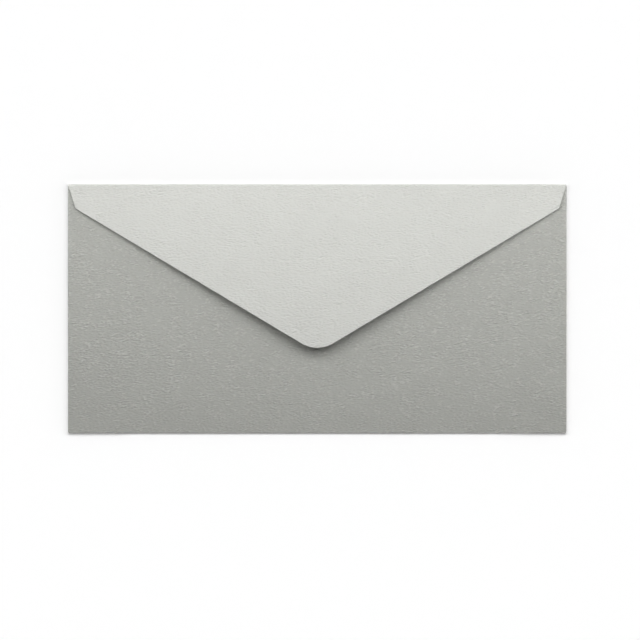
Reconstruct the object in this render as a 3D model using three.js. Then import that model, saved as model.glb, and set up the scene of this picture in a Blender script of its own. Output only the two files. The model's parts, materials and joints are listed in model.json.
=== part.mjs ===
// A DL envelope of grained paper. It lies on its address side, with its pointed flap down but not sealed.
// Millimetres, +Z up. The origin is on the surface that it lies on, under the middle of its outline.
// +Y points to the top fold, which the flap turns about, and the flap's tip points to -Y.
// The blank is one sheet of paper. It is cut here at its creases, so each panel and each fold is a piece.
import * as THREE from "three";

// The sheet and the glue
const paperThickness = 0.2;
const glueThickness = 0.05; // of the dried seam glue
const gumThickness = 0.05; // of the dried gum on the flap
const gumFilmGap = 0.01; // keeps the gum's face just off the tilted flap's

// The finished envelope
const envelopeWidth = 220; // over the side folds
const envelopeHeight = 110; // from the bottom fold to the top fold
const pocketRoom = 0.6; // free height for a letter between the front panel and the side flaps

// The back panel, which turns up from the bottom fold
const backPanelInset = 0.2; // from each side of the envelope
const backPanelTopGap = 0.3; // from its top corners to the top fold
const backPanelCornerRadius = 1;
const throatDepth = 12; // from the top fold to the low middle of the back panel's top edge
const throatShoulder = 8; // full-height stretch at each side of the throat
const throatRun = 22; // width over which the edge drops
const throatRadius = 20;

// The side flaps, glued inside the back panel
const sideFlapWidth = 16;
const sideFlapEndGap = 0.1; // between the ends of a side's fold and the bottom and top folds
const sideFlapTaper = 5; // how much shorter each end gets towards its free edge
const sideFlapCornerRadius = 3;
const seamGlueWidth = 6;
const seamGlueEndMargin = 7; // bare paper beyond each end of the glue

// The seal flap
const flapDepth = 72.3; // from the top fold to the rounded tip, along the paper
const flapTipRadius = 13.6;
const flapShoulderDrop = 10.8; // from the top fold to the shoulder's corner
const flapShoulderInset = 3.5; // from the envelope's side to the shoulder's corner
const flapShoulderRadius = 1;
const flapClearance = 0.3; // over the back panel when the flap is pressed down flat
const flapRootGap = 0.05; // between the top fold and the flap, which turn apart
const flapLift = THREE.MathUtils.degToRad(4); // how far the crease holds the flap open

// The gum on the flap's inner face
const gumWidth = 12;
const gumEdgeMargin = 3; // bare paper outside the gum
const gumEndMargin = 24; // from the envelope's side to each end of the gum
const gumInnerRadius = 4;

// How finely round shapes are drawn
const foldSegments = 24; // in a half turn
const cornerSegments = 24; // in a rounded corner of an outline

// The layers, from the surface upwards
const frontTop = paperThickness;
const sideFlapBottom = frontTop + pocketRoom;
const sideFlapTop = sideFlapBottom + paperThickness;
const backBottom = sideFlapTop + glueThickness;
const backTop = backBottom + paperThickness;
const flapTop = backTop + flapClearance + paperThickness; // with the flap pressed down flat

// Each fold is a half ring round the middle of the layers that it joins
const sideFoldRadius = sideFlapTop / 2;
const bottomFoldRadius = backTop / 2;
const topFoldRadius = flapTop / 2;
const sideFoldX = envelopeWidth / 2 - sideFoldRadius;
const bottomFoldY = -envelopeHeight / 2 + bottomFoldRadius;
const topFoldY = envelopeHeight / 2 - topFoldRadius;
const sideFoldBottomY = bottomFoldY + sideFlapEndGap;
const sideFoldTopY = topFoldY - sideFlapEndGap;
const bottomFoldHalfWidth = envelopeWidth / 2 - backPanelInset;

// As the top fold bends open and shut, the flap turns about a line halfway from its middle to its crest
const hingeY = topFoldY + topFoldRadius / 2;

// The flap's short edges run from its shoulders to the envelope's corners, and cross the axis here
const topFoldHalfWidth = envelopeWidth / 2 - (flapShoulderInset * topFoldRadius) / flapShoulderDrop;

const paperOfPocket = new THREE.MeshStandardMaterial({ color: 0xa7a8a3, roughness: 0.85, metalness: 0 });
const paperOfFlap = new THREE.MeshStandardMaterial({ color: 0xd1d2cc, roughness: 0.85, metalness: 0 });
const driedGlue = new THREE.MeshStandardMaterial({ color: 0xd9d3c2, roughness: 0.4, metalness: 0 });
const driedGum = new THREE.MeshStandardMaterial({ color: 0xd6d1c3, roughness: 0.3, metalness: 0 });

// An outline through corners of [x, y, radius], with an arc in each corner that has a radius.
function roundedOutline(corners) {
  const shape = new THREE.Shape();
  corners.forEach(([x, y, radius], i) => {
    const corner = new THREE.Vector2(x, y);
    const before = corners[(i + corners.length - 1) % corners.length];
    const after = corners[(i + 1) % corners.length];
    const toBefore = new THREE.Vector2(before[0] - x, before[1] - y).normalize();
    const toAfter = new THREE.Vector2(after[0] - x, after[1] - y).normalize();
    if (!radius) {
      if (i === 0) shape.moveTo(x, y);
      else shape.lineTo(x, y);
      return;
    }
    const halfAngle = Math.acos(toBefore.dot(toAfter)) / 2;
    const bisector = toBefore.clone().add(toAfter).normalize();
    const centre = corner.clone().addScaledVector(bisector, radius / Math.sin(halfAngle));
    const tangent = radius / Math.tan(halfAngle);
    const start = corner.clone().addScaledVector(toBefore, tangent);
    const end = corner.clone().addScaledVector(toAfter, tangent);
    const clockwise = toBefore.cross(toAfter) > 0;
    const startAngle = start.clone().sub(centre).angle();
    const endAngle = end.clone().sub(centre).angle();
    if (i === 0) shape.moveTo(start.x, start.y);
    else shape.lineTo(start.x, start.y);
    shape.absarc(centre.x, centre.y, radius, startAngle, endAngle, clockwise);
  });
  return shape;
}

// A flat sheet of the given outline, lying with its lower face at z = bottom.
function sheet(name, outline, bottom, thickness, material) {
  const geometry = new THREE.ExtrudeGeometry(outline, {
    depth: thickness,
    bevelEnabled: false,
    curveSegments: cornerSegments,
  });
  const mesh = new THREE.Mesh(geometry, material);
  mesh.name = name;
  mesh.position.z = bottom;
  return mesh;
}

// A folded strip of paper, bulging towards [bulgeX, bulgeY]: part of a ring that rests on z = 0.
// It runs from its lowest point to the angle `end`, which is a right angle at its highest point.
function foldedStrip(name, radius, end, length, [bulgeX, bulgeY], material) {
  const up = new THREE.Vector3(0, 0, 1);
  const across = new THREE.Vector3(bulgeX, bulgeY, 0);
  const along = across.clone().cross(up);
  const lowest = -Math.PI / 2;
  const section = new THREE.Shape();
  section.absarc(0, 0, radius, lowest, end, false);
  section.absarc(0, 0, radius - paperThickness, end, lowest, true);
  const geometry = new THREE.ExtrudeGeometry(section, {
    depth: length,
    bevelEnabled: false,
    curveSegments: foldSegments,
  });
  geometry.translate(0, 0, -length / 2);
  geometry.applyMatrix4(new THREE.Matrix4().makeBasis(across, up, along));
  const mesh = new THREE.Mesh(geometry, material);
  mesh.name = name;
  mesh.position.z = radius;
  return mesh;
}

// An outline that is its right half, given from the bottom up, and the mirror image of that half.
function mirroredOutline(rightHalf) {
  const leftHalf = rightHalf.map(([x, y, radius]) => [-x, y, radius]).reverse();
  return roundedOutline([...rightHalf, ...leftHalf]);
}

// Past the ends of the side folds the panel is wider, to meet the whole length of the other two folds.
function frontPanel() {
  const outline = mirroredOutline([
    [bottomFoldHalfWidth, bottomFoldY, 0],
    [bottomFoldHalfWidth, sideFoldBottomY, 0],
    [sideFoldX, sideFoldBottomY, 0],
    [sideFoldX, sideFoldTopY, 0],
    [topFoldHalfWidth, sideFoldTopY, 0],
    [topFoldHalfWidth, topFoldY, 0],
  ]);
  return sheet("front_panel", outline, 0, paperThickness, paperOfPocket);
}

function backPanel() {
  const top = topFoldY - backPanelTopGap;
  const throat = envelopeHeight / 2 - throatDepth;
  const dropStartX = bottomFoldHalfWidth - throatShoulder;
  const dropEndX = dropStartX - throatRun;
  const outline = mirroredOutline([
    [bottomFoldHalfWidth, bottomFoldY, 0],
    [bottomFoldHalfWidth, top, backPanelCornerRadius],
    [dropStartX, top, throatRadius],
    [dropEndX, throat, throatRadius],
  ]);
  return sheet("back_panel", outline, backBottom, paperThickness, paperOfPocket);
}

function bottomFold() {
  const length = 2 * bottomFoldHalfWidth;
  const strip = foldedStrip("bottom_fold", bottomFoldRadius, Math.PI / 2, length, [0, -1], paperOfPocket);
  strip.position.y = bottomFoldY;
  return strip;
}

// side is -1 for the left, with -X, and 1 for the right.
function sideFold(name, side) {
  const length = sideFoldTopY - sideFoldBottomY;
  const strip = foldedStrip(name, sideFoldRadius, Math.PI / 2, length, [side, 0], paperOfPocket);
  strip.position.x = side * sideFoldX;
  strip.position.y = (sideFoldBottomY + sideFoldTopY) / 2;
  return strip;
}

const sideFlapFreeBottomY = sideFoldBottomY + sideFlapTaper;
const sideFlapFreeTopY = sideFoldTopY - sideFlapTaper;

function sideFlap(name, side) {
  const freeX = sideFoldX - sideFlapWidth;
  const outline = roundedOutline([
    [side * sideFoldX, sideFoldBottomY, 0],
    [side * sideFoldX, sideFoldTopY, 0],
    [side * freeX, sideFlapFreeTopY, sideFlapCornerRadius],
    [side * freeX, sideFlapFreeBottomY, sideFlapCornerRadius],
  ]);
  return sheet(name, outline, sideFlapBottom, paperThickness, paperOfPocket);
}

// The dried line of glue runs down the middle of the side flap.
function seamGlue(name, side) {
  const middleX = sideFoldX - sideFlapWidth / 2;
  const bottom = sideFlapFreeBottomY + seamGlueEndMargin;
  const top = sideFlapFreeTopY - throatDepth - seamGlueEndMargin;
  const glueCorners = [
    [middleX - seamGlueWidth / 2, bottom],
    [middleX + seamGlueWidth / 2, bottom],
    [middleX + seamGlueWidth / 2, top],
    [middleX - seamGlueWidth / 2, top],
  ];
  const outline = roundedOutline(glueCorners.map(([x, y]) => [side * x, y, seamGlueWidth / 3]));
  return sheet(name, outline, sideFlapTop, glueThickness, driedGlue);
}

// The flap is drawn flat, in a frame whose X axis is the middle of the top fold.
const shoulderX = envelopeWidth / 2 - flapShoulderInset;
const shoulderY = topFoldRadius - flapShoulderDrop;
const tipCentreY = topFoldRadius - flapDepth + flapTipRadius;

// The slope of the flap's long edges, which run from the shoulder's corner to touch the round of the tip.
const shoulderToTip = new THREE.Vector2(shoulderX, shoulderY - tipCentreY);
const edgeAngle = shoulderToTip.angle() + Math.asin(flapTipRadius / shoulderToTip.length());

// The y of the long edge at x, or of a line this far inside it.
function edgeY(x, inset) {
  return tipCentreY - (flapTipRadius - inset - x * Math.sin(edgeAngle)) / Math.cos(edgeAngle);
}

function topFold() {
  const end = Math.PI / 2 - flapLift;
  const length = 2 * topFoldHalfWidth;
  const strip = foldedStrip("top_fold", topFoldRadius, end, length, [0, 1], paperOfFlap);
  strip.position.y = topFoldY;
  return strip;
}

function sealFlap() {
  const outline = roundedOutline([
    [topFoldHalfWidth, -flapRootGap, 0],
    [-topFoldHalfWidth, -flapRootGap, 0],
    [-shoulderX, shoulderY, flapShoulderRadius],
    [0, edgeY(0, 0), flapTipRadius],
    [shoulderX, shoulderY, flapShoulderRadius],
  ]);
  return sheet("seal_flap", outline, topFoldRadius - paperThickness, paperThickness, paperOfFlap);
}

function sealGum() {
  const endX = envelopeWidth / 2 - gumEndMargin;
  const innerInset = gumEdgeMargin + gumWidth;
  const outline = roundedOutline([
    [endX, edgeY(endX, innerInset), 0],
    [0, edgeY(0, innerInset), gumInnerRadius],
    [-endX, edgeY(endX, innerInset), 0],
    [-endX, edgeY(endX, gumEdgeMargin), 0],
    [0, edgeY(0, gumEdgeMargin), flapTipRadius - gumEdgeMargin],
    [endX, edgeY(endX, gumEdgeMargin), 0],
  ]);
  const top = topFoldRadius - paperThickness - gumFilmGap;
  return sheet("seal_gum", outline, top - gumThickness, gumThickness, driedGum);
}

const pocket = new THREE.Group();
pocket.add(frontPanel(), bottomFold(), backPanel(), topFold());
for (const [name, side] of [["left", -1], ["right", 1]]) {
  pocket.add(sideFold(`${name}_fold`, side));
  pocket.add(sideFlap(`${name}_side_flap`, side));
  pocket.add(seamGlue(`${name}_seam_glue`, side));
}

const flap = new THREE.Group();
flap.add(sealFlap(), sealGum());
flap.position.y = topFoldY - hingeY;
flap.rotation.x = -flapLift;

// Turning this group about its X axis, towards -X, opens the flap.
const hinge = new THREE.Group();
hinge.add(flap);
hinge.position.set(0, hingeY, topFoldRadius);

const envelope = new THREE.Group();
envelope.add(pocket, hinge);

export default envelope;
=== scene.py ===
import json
import math

import bmesh
import bpy
import numpy as np
from mathutils import Matrix, Vector, noise

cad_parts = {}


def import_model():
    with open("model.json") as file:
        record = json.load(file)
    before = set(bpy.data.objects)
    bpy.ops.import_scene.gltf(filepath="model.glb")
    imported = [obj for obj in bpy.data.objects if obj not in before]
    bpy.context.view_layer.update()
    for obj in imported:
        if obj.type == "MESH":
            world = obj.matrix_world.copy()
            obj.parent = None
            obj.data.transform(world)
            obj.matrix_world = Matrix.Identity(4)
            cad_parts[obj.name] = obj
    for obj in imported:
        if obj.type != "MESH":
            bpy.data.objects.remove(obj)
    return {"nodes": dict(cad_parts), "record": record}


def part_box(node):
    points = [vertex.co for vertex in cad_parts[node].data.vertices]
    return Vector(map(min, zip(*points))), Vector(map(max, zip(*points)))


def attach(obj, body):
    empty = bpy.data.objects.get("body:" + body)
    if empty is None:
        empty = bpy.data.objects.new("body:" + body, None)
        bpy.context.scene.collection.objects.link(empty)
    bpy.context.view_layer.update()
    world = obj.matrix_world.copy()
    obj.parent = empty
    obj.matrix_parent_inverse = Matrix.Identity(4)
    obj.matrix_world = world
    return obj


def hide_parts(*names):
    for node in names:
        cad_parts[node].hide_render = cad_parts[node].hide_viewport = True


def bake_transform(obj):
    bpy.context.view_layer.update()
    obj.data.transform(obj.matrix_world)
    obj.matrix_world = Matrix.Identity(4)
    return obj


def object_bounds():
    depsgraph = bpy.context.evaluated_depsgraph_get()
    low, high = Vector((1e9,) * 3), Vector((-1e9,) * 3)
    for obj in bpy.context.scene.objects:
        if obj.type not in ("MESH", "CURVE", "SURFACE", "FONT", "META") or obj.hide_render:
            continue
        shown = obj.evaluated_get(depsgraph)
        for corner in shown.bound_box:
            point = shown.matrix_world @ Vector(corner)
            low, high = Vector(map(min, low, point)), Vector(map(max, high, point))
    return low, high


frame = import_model()
cad_low, cad_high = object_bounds()

# The view in the photograph: pixels of its frame, and the lens
PHOTO_PIXELS = 640
PHOTO_WIDTH_OF_ENVELOPE = 498.2
PHOTO_MIDDLE_OF_ENVELOPE = (317.25, 308.8)
LENS_MM = 150
SENSOR_MM = 36
FARTHEST_SEEN = 10  # metres from the camera

# The light, as the share of white that a white level surface at the origin gets from each source
KEY_LEVEL = 0.825
SKY_LEVEL = 0.01
HORIZON_LEVEL = 0.165
KEY_PLACE = Vector((0.0045, 0.128, 0.209))
KEY_SIZE = (0.72, 0.185)
HORIZON_POWER = 5  # how fast the bright horizon fades upwards
HORIZON_SIDE = Vector((0.25, -0.4, 0))  # how much brighter it is that way, and darker opposite
KEY_STEPS = 16  # spots along each side of the key, where its light is added up

# The surface that it lies on
FLOOR_HALF = 1.5
FLOOR_STEPS = 80
FLOOR_EVEN = 0.1  # share of even spacing between its lines, which are closer near the middle
FLOOR_DROP = 0.00005  # keeps it just below the paper
FLOOR_TONE = 0.8  # for the light that it throws back at the paper

# The paper's tones, linear, on its faces and at its cut edges
POCKET_TONE = (0.399, 0.403, 0.377)
POCKET_CORE = (0.44, 0.443, 0.42)
FLAP_TONE = (0.578, 0.583, 0.554)
FLAP_CORE = (0.65, 0.653, 0.625)

# The paper's surface
PAPER_ROUGHNESS = 0.85
PAPER_SHEEN = 0.3
STROKE = 0.00046  # height of one stroke
STROKE_LENGTH = 2.9  # strokes are this much longer than high
STROKE_TILT = math.radians(10)  # from the X axis
STROKE_BEND = 0.0012  # how far the strokes wander from straight
BEND_CELL = 0.004  # length of a bend
POCKET_GRAIN = 0.00053  # depth of its deepest strokes
FLAP_GRAIN = 0.00038
PAINTED_HIGHLIGHT_HEIGHTS = (0.06, 0.2)  # heights between which a stroke grows lighter with a painted highlight
POCKET_PAINTED_HIGHLIGHT = 1.18  # painted highlight: how much lighter its highest strokes are, fitted to the photograph's highlights
PATCH_CELL = 0.0045  # size of the areas of deep and shallow grain
PATCH_EDGE = (0.38, 0.62)  # heights of the noise between which the grain goes from shallow to deep
SHALLOW = 0.5  # depth of the shallow areas, where the deep ones have 1
MOTTLE_CELL = 0.015  # size of the clouds in the paper's tone
MOTTLE_RANGE = (0.3, 0.7)  # values of the noise that give the darkest and lightest shades
MOTTLE_SHADES = (0.988, 1.012)

# The dried gum and glue
GUM_TONE = (0.6, 0.57, 0.49)
GUM_ROUGHNESS = 0.35
GLUE_TONE = (0.69, 0.64, 0.53)
GLUE_ROUGHNESS = 0.45
FILM_CELL = 0.002  # size of its uneven spots
FILM_DEPTH = 0.00002
FILM_RANGE = (0.3, 0.7)
FILM_SHADES = (0.95, 1.03)

# The meshes
GRID = 0.004  # between the cuts across a sheet
RIM = 0.0004  # width of the band inside a cut edge that shows the paper's core
FOLD_STEPS = 96  # round a fold
SHARP = math.radians(35)  # edges that turn more than this stay sharp
WELD = 0.000001  # corners closer than this are one
CUT_NEAR = 0.0000001  # a cut this close to a corner goes through it

# How the sheets bend away from flat
BACK_SAG = 0.00025  # of the back panel into the pocket, at the middle of its free edge
FLAP_HOLLOW = 0.0001  # of the flap's middle, inwards
WAVE_HEIGHT = 0.00008  # of the gentle wave in each sheet
WAVE_LENGTH = 0.06
FOLD_WAVE = 0.00003  # height of the wave along a fold
FOLD_WAVE_LENGTH = WAVE_LENGTH / 4
BOTTOM_PRESS = 0.0004  # how much lower the bottom fold is between the side flaps, with less paper in it
PRESS_REACH = 0.015  # of the press, along the fold and up the back panel
FOLD_SQUARE = 2.6  # a pressed fold: 2 would be round, and more is squarer

back_low, back_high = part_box("back_panel")
fold_low, fold_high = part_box("top_fold")
flap_low, flap_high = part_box("seal_flap")
side_flap_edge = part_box("right_side_flap")[0].x
paper_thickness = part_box("front_panel")[1].z
# The joint's lower limit lays the flap level, so at rest it is lifted by that much
flap_lift = math.radians(-frame["record"]["behaviour"]["joints"][0]["range_deg"][0])


def link(item):
    bpy.context.scene.collection.objects.link(item)
    return item


# The view

def camera():
    """A long lens straight above, with the envelope as large and in the same place as in the photograph."""
    data = bpy.data.cameras.new("camera")
    data.lens = LENS_MM
    data.sensor_width = SENSOR_MM
    data.clip_end = FARTHEST_SEEN
    view = link(bpy.data.objects.new("camera", data))
    metres_per_pixel = (cad_high.x - cad_low.x) / PHOTO_WIDTH_OF_ENVELOPE
    view.location = (
        (PHOTO_PIXELS / 2 - PHOTO_MIDDLE_OF_ENVELOPE[0]) * metres_per_pixel,
        (PHOTO_MIDDLE_OF_ENVELOPE[1] - PHOTO_PIXELS / 2) * metres_per_pixel,
        PHOTO_PIXELS * metres_per_pixel * LENS_MM / SENSOR_MM,
    )
    bpy.context.scene.camera = view


# Shader nodes

def add(tree, kind, inputs=None, **settings):
    """A shader node with its settings; an input is a value, or a socket to link from."""
    made = tree.nodes.new("ShaderNode" + kind)
    for name, value in settings.items():
        setattr(made, name, value)
    for name, value in (inputs or {}).items():
        if isinstance(value, bpy.types.NodeSocket):
            tree.links.new(value, made.inputs[name])
        else:
            made.inputs[name].default_value = value
    return made


def calculate(tree, operation, first, second):
    return add(tree, "Math", {0: first, 1: second}, operation=operation).outputs["Value"]


def seen_by_eye(tree):
    """1 for the rays that show a background: from the camera, reflected or passed on."""
    path = add(tree, "LightPath").outputs
    reflected = calculate(tree, "MAXIMUM", path["Is Camera Ray"], path["Is Glossy Ray"])
    return calculate(tree, "MAXIMUM", reflected, path["Is Transmission Ray"])


# The light

def world():
    """White to the eye, and to everything else a grey sky over a brighter horizon."""
    made = bpy.data.worlds.new("world")
    bpy.context.scene.world = made
    made.use_nodes = True
    tree = made.node_tree
    tree.nodes.clear()
    direction = add(tree, "TexCoord").outputs["Generated"]
    up = add(tree, "SeparateXYZ", {0: direction}).outputs["Z"]
    low = calculate(tree, "POWER", calculate(tree, "SUBTRACT", 1, up), HORIZON_POWER)
    sideways = add(tree, "VectorMath", {0: direction, 1: HORIZON_SIDE}, operation="DOT_PRODUCT")
    side = calculate(tree, "ADD", 1, sideways.outputs["Value"])
    horizon = HORIZON_LEVEL * (HORIZON_POWER + 1) * (HORIZON_POWER + 2) / 2
    glow = calculate(tree, "MULTIPLY", calculate(tree, "MULTIPLY", low, side), horizon)
    strength = calculate(tree, "ADD", glow, SKY_LEVEL)
    light = add(tree, "Background", {"Color": (1, 1, 1, 1), "Strength": strength})
    white = add(tree, "Background", {"Color": (1, 1, 1, 1), "Strength": 1})
    mix = add(tree, "MixShader", {0: seen_by_eye(tree), 1: light.outputs[0], 2: white.outputs[0]})
    add(tree, "OutputWorld", {"Surface": mix.outputs[0]})


def key_turn():
    """The turn that aims the key at the origin."""
    return (-KEY_PLACE).to_track_quat("-Z", "Y")


def key_level(points):
    """The share of white that a level white surface gets at each point, from a key of 1 watt."""
    turn = key_turn()
    across = np.array(turn @ Vector((KEY_SIZE[0], 0, 0)))
    along = np.array(turn @ Vector((0, KEY_SIZE[1], 0)))
    aim = np.array(turn @ Vector((0, 0, -1)))
    total = np.zeros(len(points))
    for i in range(KEY_STEPS):
        for j in range(KEY_STEPS):
            aside = across * ((i + 0.5) / KEY_STEPS - 0.5)
            spot = np.array(KEY_PLACE) + aside + along * ((j + 0.5) / KEY_STEPS - 0.5)
            way = spot - points
            total += np.maximum(-way @ aim, 0) * way[:, 2] / (way ** 2).sum(1) ** 2
    return total / (KEY_STEPS * math.pi) ** 2


def key_power():
    """Watts that give the origin its level."""
    return KEY_LEVEL / key_level(np.zeros((1, 3)))[0]


def key():
    """A wide soft light above the top fold, near enough to fall off towards the bottom fold."""
    data = bpy.data.lights.new("key", "AREA")
    data.shape = "RECTANGLE"
    data.size, data.size_y = KEY_SIZE
    data.energy = key_power()
    lamp = link(bpy.data.objects.new("key", data))
    lamp.location = KEY_PLACE
    lamp.rotation_mode = "QUATERNION"
    lamp.rotation_quaternion = key_turn()


def floor():
    """A surface that is evenly white but for the envelope's shadow, cut finer near the envelope."""
    steps = np.linspace(-1, 1, FLOOR_STEPS + 1)
    lines = FLOOR_HALF * (FLOOR_EVEN * steps + (1 - FLOOR_EVEN) * steps ** 3)
    points = np.array([(x, y, -FLOOR_DROP) for y in lines for x in lines])
    row = FLOOR_STEPS + 1
    faces = []
    for j in range(FLOOR_STEPS):
        for i in range(FLOOR_STEPS):
            start = j * row + i
            faces.append((start, start + 1, start + row + 1, start + row))
    mesh = bpy.data.meshes.new("floor")
    mesh.from_pydata(points.tolist(), [], faces)
    level = SKY_LEVEL + HORIZON_LEVEL + key_power() * key_level(points)
    tone = np.minimum(1 / level, 1)
    for name, values in (("tone", tone), ("glow", 1 - tone * level)):
        mesh.attributes.new(name, "FLOAT", "POINT").data.foreach_set("value", values)
    mesh.materials.append(floor_material())
    link(bpy.data.objects.new("floor", mesh))


def floor_material():
    """White to the eye but for shadows, and plain matt to everything else."""
    made = bpy.data.materials.new("white_surface")
    made.use_nodes = True
    tree = made.node_tree
    tree.nodes.clear()
    plain = add(tree, "BsdfDiffuse", {"Color": (FLOOR_TONE, FLOOR_TONE, FLOOR_TONE, 1)})
    lit = add(tree, "BsdfDiffuse", {"Color": add(tree, "Attribute", attribute_name="tone").outputs["Fac"]})
    rest = add(tree, "Attribute", attribute_name="glow").outputs["Fac"]
    glow = add(tree, "Emission", {"Color": (1, 1, 1, 1), "Strength": rest})
    white = add(tree, "AddShader", {0: lit.outputs[0], 1: glow.outputs[0]})
    mix = add(tree, "MixShader", {0: seen_by_eye(tree), 1: plain.outputs[0], 2: white.outputs[0]})
    add(tree, "OutputMaterial", {"Surface": mix.outputs[0]})
    return made


# The materials

def new_material(name):
    """A material, its tree and its surface node."""
    made = bpy.data.materials.new(name)
    made.use_nodes = True
    tree = made.node_tree
    return made, tree, tree.nodes["Principled BSDF"]


def noise_texture(tree, place, cell, detail=2, roughness=0.5):
    inputs = {"Vector": place, "Scale": 1 / cell, "Detail": detail, "Roughness": roughness}
    return add(tree, "TexNoise", inputs).outputs["Fac"]


def spread(tree, value, source, target):
    """A value between the two ends of source, moved and stretched to lie between those of target."""
    inputs = {
        "Value": value,
        "From Min": source[0],
        "From Max": source[1],
        "To Min": target[0],
        "To Max": target[1],
    }
    return add(tree, "MapRange", inputs).outputs["Result"]


def paper(name, tone, core, depth, top=1):
    """Matt paper with an embossed grain of short strokes; the factor top paints a highlight on the highest
    ones, making them lighter.
    """
    made, tree, surface = new_material(name)
    place = add(tree, "TexCoord").outputs["Object"]
    bend = calculate(tree, "MULTIPLY", noise_texture(tree, place, BEND_CELL, detail=1), STROKE_BEND)
    aside = add(tree, "CombineXYZ", {"Y": bend}).outputs["Vector"]
    bent = add(tree, "VectorMath", {0: place, 1: aside}, operation="ADD").outputs["Vector"]
    turned = {"Vector": bent, "Rotation": (0, 0, STROKE_TILT), "Scale": (STROKE_LENGTH, 1, 1)}
    long = add(tree, "Mapping", turned, vector_type="TEXTURE").outputs["Vector"]
    strokes = calculate(tree, "SUBTRACT", noise_texture(tree, long, STROKE, detail=0), 0.5)
    patches = spread(tree, noise_texture(tree, place, PATCH_CELL), PATCH_EDGE, (SHALLOW, 1))
    grain = calculate(tree, "MULTIPLY", strokes, patches)
    bump = add(tree, "Bump", {"Height": grain, "Strength": 1, "Distance": depth})
    clouds = noise_texture(tree, place, MOTTLE_CELL, detail=5, roughness=0.7)
    mottle = spread(tree, clouds, MOTTLE_RANGE, MOTTLE_SHADES)
    rim = add(tree, "Attribute", attribute_name="rim").outputs["Fac"]
    edged = add(tree, "Mix", {"Factor": rim, "A": (*tone, 1), "B": (*core, 1)}, data_type="RGBA")
    # painted highlight: the highest strokes are made lighter by the factor top
    painted_highlight = spread(tree, grain, PAINTED_HIGHLIGHT_HEIGHTS, (1, top))
    shade = calculate(tree, "MULTIPLY", mottle, painted_highlight)
    inputs = {"Vector": edged.outputs["Result"], "Scale": shade}
    varied = add(tree, "VectorMath", inputs, operation="SCALE")
    tree.links.new(varied.outputs["Vector"], surface.inputs["Base Color"])
    tree.links.new(bump.outputs["Normal"], surface.inputs["Normal"])
    surface.inputs["Roughness"].default_value = PAPER_ROUGHNESS
    surface.inputs["Specular IOR Level"].default_value = PAPER_SHEEN
    return made


def film(name, tone, roughness):
    """A thin dried film, slightly uneven and with a soft gloss."""
    made, tree, surface = new_material(name)
    place = add(tree, "TexCoord").outputs["Object"]
    uneven = noise_texture(tree, place, FILM_CELL, detail=3)
    bump = add(tree, "Bump", {"Height": uneven, "Strength": 1, "Distance": FILM_DEPTH})
    shade = spread(tree, uneven, FILM_RANGE, FILM_SHADES)
    varied = add(tree, "VectorMath", {"Vector": tone, "Scale": shade}, operation="SCALE")
    tree.links.new(varied.outputs["Vector"], surface.inputs["Base Color"])
    tree.links.new(bump.outputs["Normal"], surface.inputs["Normal"])
    surface.inputs["Roughness"].default_value = roughness
    return made


# The pieces

def wave(x, y):
    """A gentle wave over a sheet, from -1 to 1."""
    return noise.noise(Vector((x, y, 0)) / WAVE_LENGTH)


def ease(share):
    """From 0 to 1 with a soft start and end."""
    share = min(max(share, 0), 1)
    return share * share * (3 - 2 * share)


def press(x):
    """How far the bottom fold is pressed down."""
    return BOTTOM_PRESS * ease((side_flap_edge - abs(x)) / PRESS_REACH)


def back_shape(x, y):
    """The back panel is pressed down at the bottom fold, and sags a little towards its free edge."""
    up = (y - back_low.y) / (back_high.y - back_low.y)
    across = 1 - (x / back_high.x) ** 2
    sag = across * math.sin(math.pi / 2 * up) * (WAVE_HEIGHT * wave(x, y) - BACK_SAG)
    return sag - press(x) * (1 - ease((y - back_low.y) / PRESS_REACH))


def flap_shape(x, y):
    """The flap is held at its root, and its middle is a little hollow."""
    down = (flap_high.y - y) / (flap_high.y - flap_low.y)
    across = 1 - (x / flap_high.x) ** 2
    middle = 4 * down * (1 - down)
    return down * WAVE_HEIGHT * wave(x, y) - middle * across * FLAP_HOLLOW


def is_wall(face):
    """True for a face across the edge of a level sheet."""
    return abs(face.normal.z) < 0.5


def cut_grid(mesh):
    """Cuts a level sheet across at even steps along X and Y."""
    for axis in (0, 1):
        values = [v.co[axis] for v in mesh.verts]
        low, high = min(values), max(values)
        count = math.ceil((high - low) / GRID)
        for i in range(1, count):
            place = Vector((0, 0, 0))
            place[axis] = low + (high - low) * i / count
            normal = Vector((0, 0, 0))
            normal[axis] = 1
            parts = mesh.verts[:] + mesh.edges[:] + mesh.faces[:]
            bmesh.ops.bisect_plane(mesh, geom=parts, plane_co=place, plane_no=normal, dist=CUT_NEAR)


def outline(node, level):
    """The corners of a sheet, in order, and the heights of its faces, where the matrix level lays it flat."""
    mesh = bmesh.new()
    mesh.from_mesh(frame["nodes"][node].data)
    bmesh.ops.remove_doubles(mesh, verts=mesh.verts, dist=WELD)
    mesh.transform(level)
    mesh.normal_update()
    low = min(v.co.z for v in mesh.verts)
    high = max(v.co.z for v in mesh.verts)
    middle = (low + high) / 2
    nexts = {}
    for face in filter(is_wall, mesh.faces):
        for loop in face.loops:
            here, there = loop.vert, loop.link_loop_next.vert
            if here.co.z > middle and there.co.z > middle:
                nexts[there] = here
    start = here = next(iter(nexts))
    points = []
    while not points or here != start:
        points.append((here.co.x, here.co.y))
        here = nexts[here]
    mesh.free()
    return points, low, high


def slab(points, low, high):
    """A level sheet with the outline points, between the heights low and high."""
    mesh = bmesh.new()
    lower = [mesh.verts.new((x, y, low)) for x, y in points]
    upper = [mesh.verts.new((x, y, high)) for x, y in points]
    mesh.faces.new(lower[::-1])
    mesh.faces.new(upper)
    for i in range(len(points)):
        mesh.faces.new((lower[i - 1], lower[i], upper[i], upper[i - 1]))
    mesh.normal_update()
    return mesh


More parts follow.
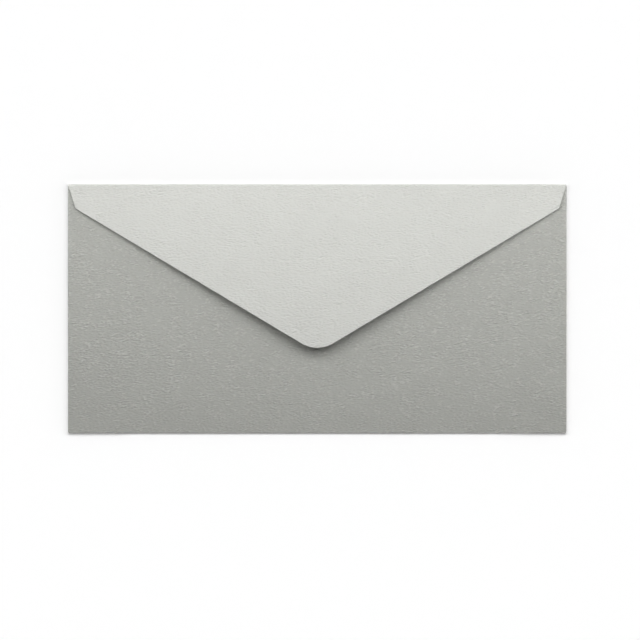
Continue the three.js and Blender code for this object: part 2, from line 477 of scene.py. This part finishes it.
def fine_sheet(name, node, shape, is_cut, level=Matrix.Identity(4), adjust=None):
    """A fine copy of a flat sheet, with a rim inside its cut edges, bent by shape(x, y) while level."""
    points, low, high = outline(node, level)
    mesh = slab(adjust(points) if adjust else points, low, high)
    for face in [face for face in mesh.faces if not is_wall(face)]:
        bmesh.ops.inset_region(mesh, faces=[face], thickness=RIM, use_even_offset=True, use_boundary=True)
    mesh.normal_update()
    rim = mesh.verts.layers.float.new("rim")
    for v in {v for face in filter(is_wall, mesh.faces) for v in face.verts}:
        v[rim] = 1 if is_cut(v.co) else 0
    cut_grid(mesh)
    for v in mesh.verts:
        v.co.z += shape(v.co.x, v.co.y)
    mesh.transform(level.inverted())
    return finished(name, mesh)


def finished(name, mesh):
    """The object made from a mesh, which is freed."""
    data = bpy.data.meshes.new(name)
    mesh.to_mesh(data)
    mesh.free()
    data.shade_smooth()
    data.set_sharp_from_angle(angle=SHARP)
    return link(bpy.data.objects.new(name, data))


def put(piece, node, body, material):
    """Puts a piece in the place of a node, on its body where it rides on one."""
    piece.data.materials.append(material)
    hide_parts(node)
    if body:
        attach(piece, body)


def flap_level():
    """Turns the flap about the middle of the top fold, from its place at rest to level."""
    middle = Vector((0, fold_low.y, fold_high.y - fold_low.y))
    turn = Matrix.Rotation(flap_lift, 4, "X")
    return Matrix.Translation(middle) @ turn @ Matrix.Translation(-middle)


def meet_fold(points):
    """Closes the hairline between the flap, lying level, and the top fold."""
    return [(x, fold_low.y if y > fold_low.y - paper_thickness else y) for x, y in points]


def squareness(angle):
    """How much farther out than a circle a pressed fold reaches."""
    return (abs(math.cos(angle)) ** FOLD_SQUARE + abs(math.sin(angle)) ** FOLD_SQUARE) ** (-1 / FOLD_SQUARE)


def fold_ring(mesh, centre, out, radius, end):
    """The corners of a fold's cross-section: up round its outside, and back down along its inside."""
    ring = []
    for inner in (0, 1):
        for j in range(FOLD_STEPS + 1):
            step = FOLD_STEPS - j if inner else j
            angle = -math.pi / 2 + (end + math.pi / 2) * step / FOLD_STEPS
            square = squareness(math.pi * (step / FOLD_STEPS - 0.5))
            uneven = FOLD_WAVE * math.cos(angle) * noise.noise(centre / FOLD_WAVE_LENGTH)
            inwards = uneven - inner * paper_thickness
            aside = out * math.cos(angle) * (radius + inwards) * square
            upwards = Vector((0, 0, math.sin(angle) * (centre.z + inwards) * square))
            ring.append(mesh.verts.new(centre + aside + upwards))
    return ring


def join_rings(mesh, rings):
    """Faces from each cross-section to the next, and over the two ends."""
    size = len(rings[0])
    for first, second in zip(rings, rings[1:]):
        for j in range(size):
            k = (j + 1) % size
            mesh.faces.new((first[j], first[k], second[k], second[j]))
    for j in range(FOLD_STEPS):
        for ring in (rings[0], rings[-1]):
            mesh.faces.new((ring[j], ring[j + 1], ring[size - 2 - j], ring[size - 1 - j]))
    bmesh.ops.recalc_face_normals(mesh, faces=mesh.faces)


def fine_fold(name, node, out, end=math.pi / 2, lower=lambda x: 0):
    """A strip of paper bent round from its lowest line to the angle end, bulging in the direction out."""
    low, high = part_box(node)
    radius = max(high.z - low.z, 2 * abs((high - low).dot(out))) / 2
    along = Vector((0, 0, 1)).cross(out)
    length = abs((high - low).dot(along))
    middle = (low + high) / 2
    middle -= out * middle.dot(out)
    middle += out * min(low.dot(out), high.dot(out))
    count = math.ceil(length / GRID)
    mesh = bmesh.new()
    rim = mesh.verts.layers.float.new("rim")
    rings = []
    for i in range(count + 1):
        offset = along * length * (i / count - 0.5)
        middle.z = radius - lower(offset.x) / 2
        rings.append(fold_ring(mesh, middle + offset, out, radius, end))
    for v in rings[0] + rings[-1]:
        v[rim] = 1
    join_rings(mesh, rings)
    return finished(name, mesh)


def pocket(material):
    back = fine_sheet("back_sheet", "back_panel", back_shape, lambda p: p.y > back_low.y + RIM)
    put(back, "back_panel", "pocket", material)
    folds = {
        "bottom": fine_fold("bottom_crease", "bottom_fold", Vector((0, -1, 0)), lower=press),
        "left": fine_fold("left_crease", "left_fold", Vector((-1, 0, 0))),
        "right": fine_fold("right_crease", "right_fold", Vector((1, 0, 0))),
    }
    for name, fold in folds.items():
        put(fold, f"{name}_fold", "pocket", material)
    for node in ("front_panel", "left_side_flap", "right_side_flap"):
        refinish(node, material)


def refinish(node, material):
    """Gives a node that keeps its shape another material."""
    materials = frame["nodes"][node].data.materials
    materials.clear()
    materials.append(material)


def flap(material, gum):
    level = flap_level()
    below_root = fold_low.y - RIM
    sheet = fine_sheet("flap_sheet", "seal_flap", flap_shape, lambda p: p.y < below_root, level, meet_fold)
    put(sheet, "seal_flap", "flap", material)
    strip = fine_sheet("gum_strip", "seal_gum", flap_shape, lambda p: True, level)
    put(strip, "seal_gum", "flap", gum)


def top_crease(material):
    """The fold between the pocket and the flap, bent round to meet the lifted flap; it is put on neither
    body.
    """
    fold = fine_fold("top_crease", "top_fold", Vector((0, 1, 0)), math.pi / 2 - flap_lift)
    put(fold, "top_fold", None, material)
    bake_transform(fold)


camera()
world()
key()
floor()
pocket_paper = paper("pocket_paper", POCKET_TONE, POCKET_CORE, POCKET_GRAIN, POCKET_PAINTED_HIGHLIGHT)
flap_paper = paper("flap_paper", FLAP_TONE, FLAP_CORE, FLAP_GRAIN)
pocket(pocket_paper)
top_crease(flap_paper)
flap(flap_paper, film("dried_gum", GUM_TONE, GUM_ROUGHNESS))
glue = film("dried_glue", GLUE_TONE, GLUE_ROUGHNESS)
for node in ("left_seam_glue", "right_seam_glue"):
    refinish(node, glue)

bpy.context.scene.view_settings.view_transform = "Standard"
